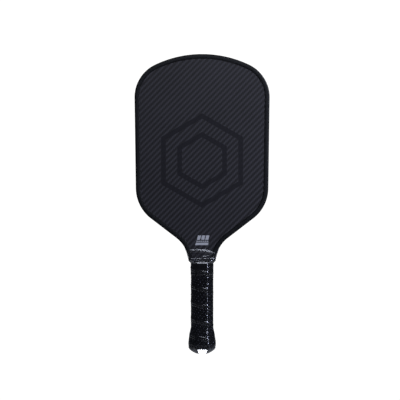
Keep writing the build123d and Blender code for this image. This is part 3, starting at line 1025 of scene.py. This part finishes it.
def edge_guard(material):
    """The guard: one moulded section swept round the head, with its lips narrowed at the feet."""
    points, normals = right_outline()
    path = np.concatenate([points[::-1], points[1:] * [-1, 1]])
    angles = np.radians(np.concatenate([normals[::-1], 180.0 - normals[1:]]))
    section = guard_profile()
    inwards = section[None, :, 0]
    near_foot = smooth((path[:, 1] - THROAT_FOOT_Z - 1.0) / FOOT_RISE)
    reach = FOOT_REACH + (GUARD_REACH - FOOT_REACH) * near_foot
    narrowed = (reach[:, None] - GUARD_CORNER) / (GUARD_REACH - GUARD_CORNER)
    lip = GUARD_CORNER + (inwards - GUARD_CORNER) * narrowed
    inset = np.where(inwards > GUARD_CORNER, lip, inwards)
    x = path[:, 0][:, None] - np.cos(angles)[:, None] * inset
    z = path[:, 1][:, None] - np.sin(angles)[:, None] * inset
    y = np.broadcast_to(section[None, :, 1], x.shape)
    rows, columns = x.shape
    strip = Patches()
    strip.grid(np.stack([x, y, z], -1), closed=True)
    strip.faces += [tuple(range(columns)), tuple(reversed(range((rows - 1) * columns, rows * columns)))]
    piece = strip.piece("edge_guard_strip", material)
    store(piece, "lip_place", np.broadcast_to(inwards, x.shape).reshape(-1))
    trim_level(piece, THROAT_FOOT_Z, LENGTH + 1.0)
    shade(piece, 40.0)
    return piece


# ---- printed marks


def hexagon_graphic(name, y_low, y_high, material):
    """Nested plain hexagon outlines, each one closed ring."""
    graphic = Patches()
    for outer in GRAPHIC_RADII:
        inner = outer - GRAPHIC_BAND
        # Four points at each corner: outside and inside, each at both depths
        corners = []
        for k in range(6):
            sine, cosine = math.sin(k * math.pi / 3), math.cos(k * math.pi / 3)
            for reach, y in ((outer, y_low), (inner, y_low), (inner, y_high), (outer, y_high)):
                corners.append((reach * sine, y, GRAPHIC_Z + reach * cosine))
        base = graphic.add(corners)
        for k in range(6):
            here, after = base + 4 * k, base + (4 * k + 4) % 24
            graphic.faces += [
                (here + i, here + (i + 1) % 4, after + (i + 1) % 4, after + i) for i in range(4)
            ]
    return graphic.piece(name, material)


def slanted(x_low, x_high, z_low, z_high):
    """A slanted bar's four corners."""
    lean_low, lean_high = (z_low - PRINT_Z) * BAR_SLANT, (z_high - PRINT_Z) * BAR_SLANT
    return [
        (x_low + lean_low, z_low), (x_high + lean_low, z_low),
        (x_high + lean_high, z_high), (x_low + lean_high, z_high),
    ]


def printed_bars(y_low, y_high, material):
    """Plain slanted bars: three blocks over a row of dashes over one long bar."""
    bars = Patches()
    for left, width, z_low, z_high, count, pitch in BAR_ROWS:
        for k in range(count):
            x = left + pitch * k
            outline = slanted(x, x + width, z_low, z_high)
            base = bars.add([(x, y, z) for y in (y_low, y_high) for x, z in outline])
            sides = [(i, i + 4, (i + 1) % 4 + 4, (i + 1) % 4) for i in range(4)]
            for face in [(0, 1, 2, 3), (7, 6, 5, 4), *sides]:
                bars.faces.append(tuple(base + i for i in face))
    return bars.piece("front_print", material)


# ---- stage


def area_light(name, location, target, size, power, colour):
    """A lamp that can't be seen itself, aimed at its target."""
    data = bpy.data.lights.new(name, "AREA")
    data.shape = "RECTANGLE"
    data.size, data.size_y = size
    data.energy = power
    data.color = colour
    lamp = new_object(name, data)
    lamp.location = location
    aim = Vector(target) - Vector(location)
    lamp.rotation_euler = aim.to_track_quat("-Z", "Y").to_euler()
    lamp.visible_camera = False


def two_looks(tree, output, lit, seen):
    """Shows the camera one shader and everything else the other."""
    path = tree.nodes.new("ShaderNodeLightPath")
    mix = tree.nodes.new("ShaderNodeMixShader")
    tree.links.new(path.outputs["Is Camera Ray"], mix.inputs[0])
    tree.links.new(lit.outputs[0], mix.inputs[1])
    tree.links.new(seen.outputs[0], mix.inputs[2])
    tree.links.new(mix.outputs[0], tree.nodes[output].inputs[0])


def build_world():
    """White to the camera, and a weak cool light on everything."""
    world = bpy.data.worlds.new("studio")
    bpy.context.scene.world = world
    world.use_nodes = True
    seen = world.node_tree.nodes["Background"]
    seen.inputs[0].default_value = (1, 1, 1, 1)
    seen.inputs[1].default_value = 1.1
    lit = world.node_tree.nodes.new("ShaderNodeBackground")
    lit.inputs[0].default_value = (0.80, 0.86, 1.0, 1)
    lit.inputs[1].default_value = 0.035
    two_looks(world.node_tree, "World Output", lit, seen)


def build_floor():
    """White to the camera, and dark enough to throw little light up."""
    floor_mat = bpy.data.materials.new("floor_pale")
    floor_mat.use_nodes = True
    tree = floor_mat.node_tree
    seen = tree.nodes.new("ShaderNodeEmission")
    seen.inputs[1].default_value = 1.05
    lit = tree.nodes.new("ShaderNodeBsdfDiffuse")
    lit.inputs[0].default_value = (0.15, 0.15, 0.15, 1)
    two_looks(tree, "Material Output", lit, seen)
    mesh = bpy.data.meshes.new("floor")
    corners = [(-1, -1), (1, -1), (1, 1), (-1, 1)]
    mesh.from_pydata([(FLOOR_HALF * x, FLOOR_HALF * y, FLOOR_Z) for x, y in corners], [], [(0, 1, 2, 3)])
    mesh.materials.append(floor_mat)
    floor = new_object("floor", mesh)


def build_camera():
    """Straight at the front face."""
    data = bpy.data.cameras.new("camera")
    data.lens = LENS
    data.sensor_width = SENSOR
    camera = new_object("camera", data)
    distance = VIEW_WIDTH / 2 / (SENSOR / 2 / LENS)
    camera.location = (VIEW_MIDDLE[0], -distance - SET_BACK, VIEW_MIDDLE[1])
    camera.rotation_euler = (math.radians(90), 0, 0)
    bpy.context.scene.camera = camera


# ---- assembly


def dress(node, material):
    """Gives a CAD node its material."""
    materials = NODES[node].data.materials
    materials.clear()
    materials.append(material)


def place(piece, slot, *replaced):
    """Puts a piece on the paddle's one body, instead of any CAD nodes named. slot is not used."""
    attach(piece, "root")
    if replaced:
        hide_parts(*replaced)


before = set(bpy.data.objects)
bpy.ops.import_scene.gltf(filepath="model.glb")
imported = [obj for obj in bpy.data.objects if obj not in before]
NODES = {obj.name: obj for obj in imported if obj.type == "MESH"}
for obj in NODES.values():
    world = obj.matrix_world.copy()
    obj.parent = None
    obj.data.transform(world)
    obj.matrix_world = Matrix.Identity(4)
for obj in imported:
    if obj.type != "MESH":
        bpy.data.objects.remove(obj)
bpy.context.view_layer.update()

bpy.context.scene.view_settings.view_transform = "Standard"
build_camera()
build_world()
build_floor()
for light in LIGHTS:
    area_light(*light)

dress("front_carbon_sheet", carbon("carbon_front", 1.0))
dress("back_carbon_sheet", carbon("carbon_back", -1.0))
tape_pale = moulded("mounting_tape", (0.45, 0.44, 0.40), (0.62, 0.60, 0.56), 0.8, 1500.0, 0.0002)
dress("edge_guard_tape", tape_pale)
cap_black = moulded("cap_plastic", (0.005, 0.005, 0.006), (0.009, 0.009, 0.010), 0.35, 1900.0, 0.00006)
dress("butt_cap", cap_black)
badge_grey = moulded("badge_plastic", (0.012, 0.012, 0.014), (0.02, 0.02, 0.023), 0.22, 900.0, 0.00004)
dress("butt_badge", badge_grey)
dress("honeycomb_core", honeycomb_plastic())
dress("perimeter_foam", cellular_foam("edge_foam", (0.09, 0.09, 0.1), (0.16, 0.16, 0.17)))
handle_foam = cellular_foam("handle_foam", (0.010, 0.010, 0.011), (0.022, 0.022, 0.024))
dress("handle_pallet_front", handle_foam)
dress("handle_pallet_back", handle_foam)
dress("butt_staples", staple_metal())

place(edge_guard(guard_rubber()), "guard_rubber", "edge_guard")
place(grip_wrap(wrap_leather()), "wrap", "grip_wrap")
place(finishing_tape(tape_vinyl()), "vinyl_tape", "grip_finishing_tape")
place(shrink_film(clear_film()), "clear_film", "handle_film")

front_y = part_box("front_carbon_sheet")[0].y / MM
back_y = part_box("back_carbon_sheet")[1].y / MM
graphic_ink = ink("graphic_ink", (0.0140, 0.0140, 0.0185), (0.0175, 0.0175, 0.0225), 0.5, 0.15)
white_ink = ink("white_ink", (0.40, 0.42, 0.48), (0.50, 0.52, 0.58), 0.4, 0.4)
place(hexagon_graphic("front_graphic", front_y - INK, front_y + INK, graphic_ink), "carbon")
place(hexagon_graphic("back_graphic", back_y - INK, back_y + INK, graphic_ink), "carbon")
place(printed_bars(front_y - INK, front_y + INK, white_ink), "carbon")
